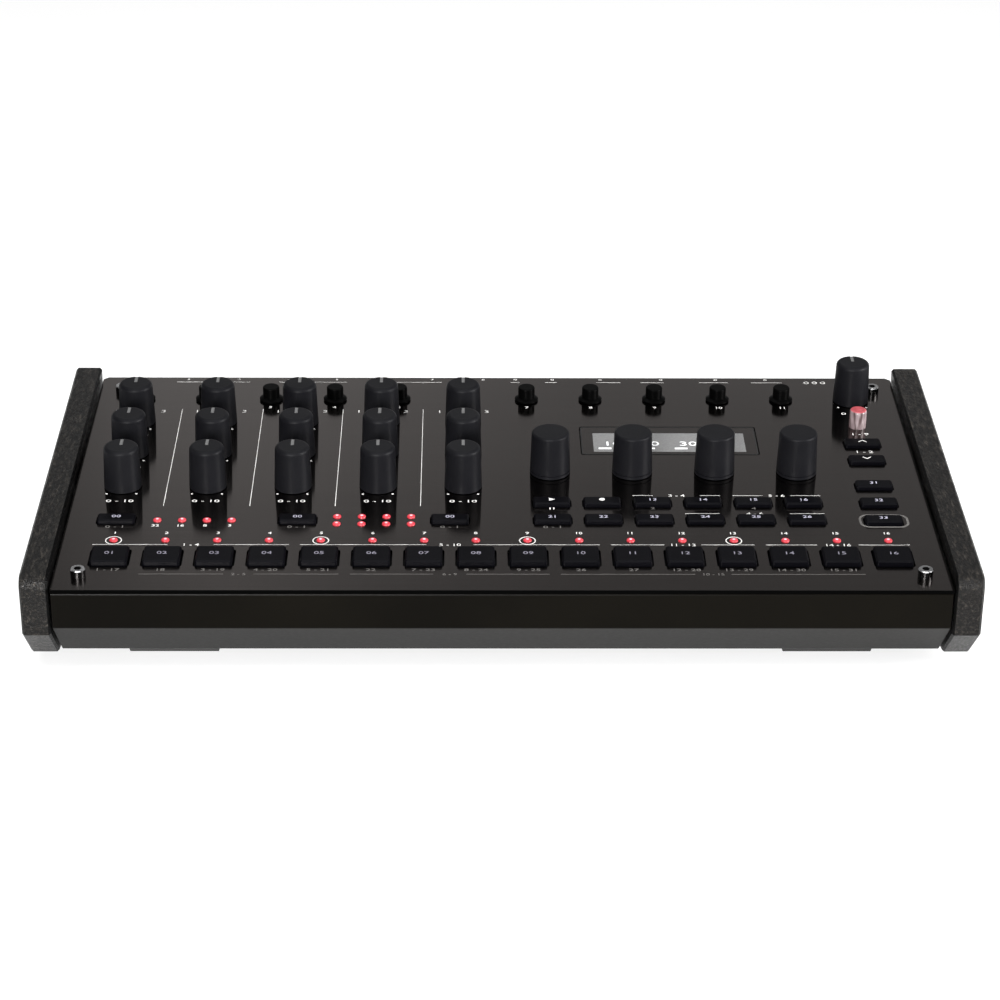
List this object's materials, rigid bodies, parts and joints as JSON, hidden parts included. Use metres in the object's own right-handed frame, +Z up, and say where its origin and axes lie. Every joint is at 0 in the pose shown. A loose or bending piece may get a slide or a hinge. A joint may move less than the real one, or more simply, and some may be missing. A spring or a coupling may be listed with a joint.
{
  "type": "drum machine",
  "caption": "Desktop drum machine: sloping brushed metal panel with knobs, keys, step lights and a small display, between two wooden cheeks, with sockets along the rear.",
  "frame": {"origin": "middle of the footprint, on the surface that the feet stand on", "axes": "+Z up, +X to the player's right along the machine's width, the player sits at -Y"},
  "size_m": [0.347, 0.1782, 0.081],
  "materials": {
    "brushed_panel": "hairline brushed across, dark anodised",
    "case_paint": "fine satin powder coat",
    "stained_wood": "black stained open-grain wood, oiled",
    "black_chrome": "black chrome",
    "window_glass": "tinted clear window",
    "display_glass": "pale grey liquid crystal glass",
    "red_lens": "diffused red",
    "board": "green solder mask",
    "control_body": "moulded black",
    "jack_plastic": "moulded black",
    "socket_shell": "moulded black",
    "ribbon": "grey vinyl",
    "nickel": "nickel plated",
    "foot_rubber": "moulded rubber",
    "knob_plastic": "fine matte charcoal",
    "level_plastic": "polished black",
    "clear_plastic": "translucent, lit red",
    "key_plastic": "satin black"
  },
  "bodies": {
    "case": {"chassis": "case_paint", "top_panel": "brushed_panel", "left_cheek": "stained_wood", "right_cheek": "stained_wood", "panel_screws": "black_chrome", "display_window": "window_glass", "display_module": "display_glass", "indicator_leds": "red_lens", "control_board": "board", "rotary_controls": "control_body", "key_switches": "control_body", "main_board": "board", "audio_jacks": "jack_plastic", "data_sockets": "socket_shell", "ribbon_cable": "ribbon", "case_fasteners": "nickel", "rubber_feet": "foot_rubber"},
    "sound_knob_1_1": {"sound_knob_1_1": "knob_plastic"},
    "sound_knob_1_2": {"sound_knob_1_2": "knob_plastic"},
    "sound_knob_1_3": {"sound_knob_1_3": "knob_plastic"},
    "sound_knob_1_4": {"sound_knob_1_4": "knob_plastic"},
    "sound_knob_1_5": {"sound_knob_1_5": "knob_plastic"},
    "sound_knob_2_1": {"sound_knob_2_1": "knob_plastic"},
    "sound_knob_2_2": {"sound_knob_2_2": "knob_plastic"},
    "sound_knob_2_3": {"sound_knob_2_3": "knob_plastic"},
    "sound_knob_2_4": {"sound_knob_2_4": "knob_plastic"},
    "sound_knob_2_5": {"sound_knob_2_5": "knob_plastic"},
    "sound_knob_3_1": {"sound_knob_3_1": "knob_plastic"},
    "sound_knob_3_2": {"sound_knob_3_2": "knob_plastic"},
    "sound_knob_3_3": {"sound_knob_3_3": "knob_plastic"},
    "sound_knob_3_4": {"sound_knob_3_4": "knob_plastic"},
    "sound_knob_3_5": {"sound_knob_3_5": "knob_plastic"},
    "volume_knob": {"volume_knob": "knob_plastic"},
    "encoder_knob_1": {"encoder_knob_1": "knob_plastic"},
    "encoder_knob_2": {"encoder_knob_2": "knob_plastic"},
    "encoder_knob_3": {"encoder_knob_3": "knob_plastic"},
    "encoder_knob_4": {"encoder_knob_4": "knob_plastic"},
    "level_knob_1": {"level_knob_1": "level_plastic"},
    "level_knob_2": {"level_knob_2": "level_plastic"},
    "level_knob_3": {"level_knob_3": "level_plastic"},
    "level_knob_4": {"level_knob_4": "level_plastic"},
    "level_knob_5": {"level_knob_5": "level_plastic"},
    "level_knob_6": {"level_knob_6": "level_plastic"},
    "level_knob_7": {"level_knob_7": "level_plastic"},
    "level_knob_8": {"level_knob_8": "level_plastic"},
    "level_knob_9": {"level_knob_9": "level_plastic"},
    "level_knob_10": {"level_knob_10": "level_plastic"},
    "level_knob_11": {"level_knob_11": "level_plastic"},
    "tempo_knob": {"tempo_knob": "clear_plastic"},
    "step_keys_1_4": {"step_keys_1_4": "key_plastic"},
    "step_keys_5_8": {"step_keys_5_8": "key_plastic"},
    "step_keys_9_12": {"step_keys_9_12": "key_plastic"},
    "step_keys_13_16": {"step_keys_13_16": "key_plastic"},
    "time_key": {"time_key": "key_plastic"},
    "yes_key": {"yes_key": "key_plastic"},
    "no_key": {"no_key": "key_plastic"},
    "pattern_keys": {"pattern_keys": "key_plastic"},
    "mode_keys": {"mode_keys": "key_plastic"},
    "side_keys": {"side_keys": "key_plastic"},
    "power_button": {"power_button": "key_plastic"}
  },
  "joints": [
    {"name": "sound_knob_1_1_turn", "type": "hinge", "parent": "case", "child": "sound_knob_1_1", "pos_m": [-0.14451, -0.00939, 0.05028], "axis": [0, -0.1668, 0.986], "range_deg": [-150, 150]},
    {"name": "sound_knob_1_2_turn", "type": "hinge", "parent": "case", "child": "sound_knob_1_2", "pos_m": [-0.11194, -0.00939, 0.05028], "axis": [0, -0.1668, 0.986], "range_deg": [-150, 150]},
    {"name": "sound_knob_1_3_turn", "type": "hinge", "parent": "case", "child": "sound_knob_1_3", "pos_m": [-0.07937, -0.00939, 0.05028], "axis": [0, -0.1668, 0.986], "range_deg": [-150, 150]},
    {"name": "sound_knob_1_4_turn", "type": "hinge", "parent": "case", "child": "sound_knob_1_4", "pos_m": [-0.0468, -0.00939, 0.05028], "axis": [0, -0.1668, 0.986], "range_deg": [-150, 150]},
    {"name": "sound_knob_1_5_turn", "type": "hinge", "parent": "case", "child": "sound_knob_1_5", "pos_m": [-0.01422, -0.00939, 0.05028], "axis": [0, -0.1668, 0.986], "range_deg": [-150, 150]},
    {"name": "sound_knob_2_1_turn", "type": "hinge", "parent": "case", "child": "sound_knob_2_1", "pos_m": [-0.14451, 0.01802, 0.05491], "axis": [0, -0.1668, 0.986], "range_deg": [-150, 150]},
    {"name": "sound_knob_2_2_turn", "type": "hinge", "parent": "case", "child": "sound_knob_2_2", "pos_m": [-0.11194, 0.01802, 0.05491], "axis": [0, -0.1668, 0.986], "range_deg": [-150, 150]},
    {"name": "sound_knob_2_3_turn", "type": "hinge", "parent": "case", "child": "sound_knob_2_3", "pos_m": [-0.07937, 0.01802, 0.05491], "axis": [0, -0.1668, 0.986], "range_deg": [-150, 150]},
    {"name": "sound_knob_2_4_turn", "type": "hinge", "parent": "case", "child": "sound_knob_2_4", "pos_m": [-0.0468, 0.01802, 0.05491], "axis": [0, -0.1668, 0.986], "range_deg": [-150, 150]},
    {"name": "sound_knob_2_5_turn", "type": "hinge", "parent": "case", "child": "sound_knob_2_5", "pos_m": [-0.01422, 0.01802, 0.05491], "axis": [0, -0.1668, 0.986], "range_deg": [-150, 150]},
    {"name": "sound_knob_3_1_turn", "type": "hinge", "parent": "case", "child": "sound_knob_3_1", "pos_m": [-0.14451, 0.04544, 0.05955], "axis": [0, -0.1668, 0.986], "range_deg": [-150, 150]},
    {"name": "sound_knob_3_2_turn", "type": "hinge", "parent": "case", "child": "sound_knob_3_2", "pos_m": [-0.11194, 0.04544, 0.05955], "axis": [0, -0.1668, 0.986], "range_deg": [-150, 150]},
    {"name": "sound_knob_3_3_turn", "type": "hinge", "parent": "case", "child": "sound_knob_3_3", "pos_m": [-0.07937, 0.04544, 0.05955], "axis": [0, -0.1668, 0.986], "range_deg": [-150, 150]},
    {"name": "sound_knob_3_4_turn", "type": "hinge", "parent": "case", "child": "sound_knob_3_4", "pos_m": [-0.0468, 0.04544, 0.05955], "axis": [0, -0.1668, 0.986], "range_deg": [-150, 150]},
    {"name": "sound_knob_3_5_turn", "type": "hinge", "parent": "case", "child": "sound_knob_3_5", "pos_m": [-0.01422, 0.04544, 0.05955], "axis": [0, -0.1668, 0.986], "range_deg": [-150, 150]},
    {"name": "volume_knob_turn", "type": "hinge", "parent": "case", "child": "volume_knob", "pos_m": [0.1438, 0.0656, 0.06296], "axis": [0, -0.1668, 0.986], "range_deg": [-150, 150]},
    {"name": "encoder_knob_1_turn", "type": "hinge", "parent": "case", "child": "encoder_knob_1", "pos_m": [0.0194, 0.00274, 0.05233], "axis": [0, -0.1668, 0.986], "continuous": true},
    {"name": "encoder_knob_2_turn", "type": "hinge", "parent": "case", "child": "encoder_knob_2", "pos_m": [0.05127, 0.00274, 0.05233], "axis": [0, -0.1668, 0.986], "continuous": true},
    {"name": "encoder_knob_3_turn", "type": "hinge", "parent": "case", "child": "encoder_knob_3", "pos_m": [0.08314, 0.00274, 0.05233], "axis": [0, -0.1668, 0.986], "continuous": true},
    {"name": "encoder_knob_4_turn", "type": "hinge", "parent": "case", "child": "encoder_knob_4", "pos_m": [0.11501, 0.00274, 0.05233], "axis": [0, -0.1668, 0.986], "continuous": true},
    {"name": "level_knob_1_turn", "type": "hinge", "parent": "case", "child": "level_knob_1", "pos_m": [-0.14411, 0.0656, 0.06296], "axis": [0, -0.1668, 0.986], "range_deg": [-150, 150]},
    {"name": "level_knob_2_turn", "type": "hinge", "parent": "case", "child": "level_knob_2", "pos_m": [-0.11817, 0.0656, 0.06296], "axis": [0, -0.1668, 0.986], "range_deg": [-150, 150]},
    {"name": "level_knob_3_turn", "type": "hinge", "parent": "case", "child": "level_knob_3", "pos_m": [-0.09223, 0.0656, 0.06296], "axis": [0, -0.1668, 0.986], "range_deg": [-150, 150]},
    {"name": "level_knob_4_turn", "type": "hinge", "parent": "case", "child": "level_knob_4", "pos_m": [-0.06628, 0.0656, 0.06296], "axis": [0, -0.1668, 0.986], "range_deg": [-150, 150]},
    {"name": "level_knob_5_turn", "type": "hinge", "parent": "case", "child": "level_knob_5", "pos_m": [-0.04034, 0.0656, 0.06296], "axis": [0, -0.1668, 0.986], "range_deg": [-150, 150]},
    {"name": "level_knob_6_turn", "type": "hinge", "parent": "case", "child": "level_knob_6", "pos_m": [-0.0144, 0.0656, 0.06296], "axis": [0, -0.1668, 0.986], "range_deg": [-150, 150]},
    {"name": "level_knob_7_turn", "type": "hinge", "parent": "case", "child": "level_knob_7", "pos_m": [0.01154, 0.0656, 0.06296], "axis": [0, -0.1668, 0.986], "range_deg": [-150, 150]},
    {"name": "level_knob_8_turn", "type": "hinge", "parent": "case", "child": "level_knob_8", "pos_m": [0.03748, 0.0656, 0.06296], "axis": [0, -0.1668, 0.986], "range_deg": [-150, 150]},
    {"name": "level_knob_9_turn", "type": "hinge", "parent": "case", "child": "level_knob_9", "pos_m": [0.06342, 0.0656, 0.06296], "axis": [0, -0.1668, 0.986], "range_deg": [-150, 150]},
    {"name": "level_knob_10_turn", "type": "hinge", "parent": "case", "child": "level_knob_10", "pos_m": [0.08936, 0.0656, 0.06296], "axis": [0, -0.1668, 0.986], "range_deg": [-150, 150]},
    {"name": "level_knob_11_turn", "type": "hinge", "parent": "case", "child": "level_knob_11", "pos_m": [0.1153, 0.0656, 0.06296], "axis": [0, -0.1668, 0.986], "range_deg": [-150, 150]},
    {"name": "tempo_knob_turn", "type": "hinge", "parent": "case", "child": "tempo_knob", "pos_m": [0.1438, 0.04253, 0.05906], "axis": [0, -0.1668, 0.986], "continuous": true},
    {"name": "step_keys_1_4_press", "type": "slide", "parent": "case", "child": "step_keys_1_4", "axis": [0, 0.1668, -0.986], "range_m": [0, 0.0008], "stiffness_N_per_m": 550, "springref_m": -0.0005},
    {"name": "step_keys_5_8_press", "type": "slide", "parent": "case", "child": "step_keys_5_8", "axis": [0, 0.1668, -0.986], "range_m": [0, 0.0008], "stiffness_N_per_m": 550, "springref_m": -0.0005},
    {"name": "step_keys_9_12_press", "type": "slide", "parent": "case", "child": "step_keys_9_12", "axis": [0, 0.1668, -0.986], "range_m": [0, 0.0008], "stiffness_N_per_m": 550, "springref_m": -0.0005},
    {"name": "step_keys_13_16_press", "type": "slide", "parent": "case", "child": "step_keys_13_16", "axis": [0, 0.1668, -0.986], "range_m": [0, 0.0008], "stiffness_N_per_m": 550, "springref_m": -0.0005},
    {"name": "time_key_press", "type": "slide", "parent": "case", "child": "time_key", "axis": [0, 0.1668, -0.986], "range_m": [0, 0.0008], "stiffness_N_per_m": 550, "springref_m": -0.0005},
    {"name": "yes_key_press", "type": "slide", "parent": "case", "child": "yes_key", "axis": [0, 0.1668, -0.986], "range_m": [0, 0.0008], "stiffness_N_per_m": 550, "springref_m": -0.0005},
    {"name": "no_key_press", "type": "slide", "parent": "case", "child": "no_key", "axis": [0, 0.1668, -0.986], "range_m": [0, 0.0008], "stiffness_N_per_m": 550, "springref_m": -0.0005},
    {"name": "pattern_keys_press", "type": "slide", "parent": "case", "child": "pattern_keys", "axis": [0, 0.1668, -0.986], "range_m": [0, 0.0008], "stiffness_N_per_m": 550, "springref_m": -0.0005},
    {"name": "mode_keys_press", "type": "slide", "parent": "case", "child": "mode_keys", "axis": [0, 0.1668, -0.986], "range_m": [0, 0.0008], "stiffness_N_per_m": 550, "springref_m": -0.0005},
    {"name": "side_keys_press", "type": "slide", "parent": "case", "child": "side_keys", "axis": [0, 0.1668, -0.986], "range_m": [0, 0.0008], "stiffness_N_per_m": 550, "springref_m": -0.0005},
    {"name": "power_button_press", "type": "slide", "parent": "case", "child": "power_button", "axis": [0, -1, 0], "range_m": [0, 0.002], "stiffness_N_per_m": 250, "springref_m": -0.001}
  ]
}
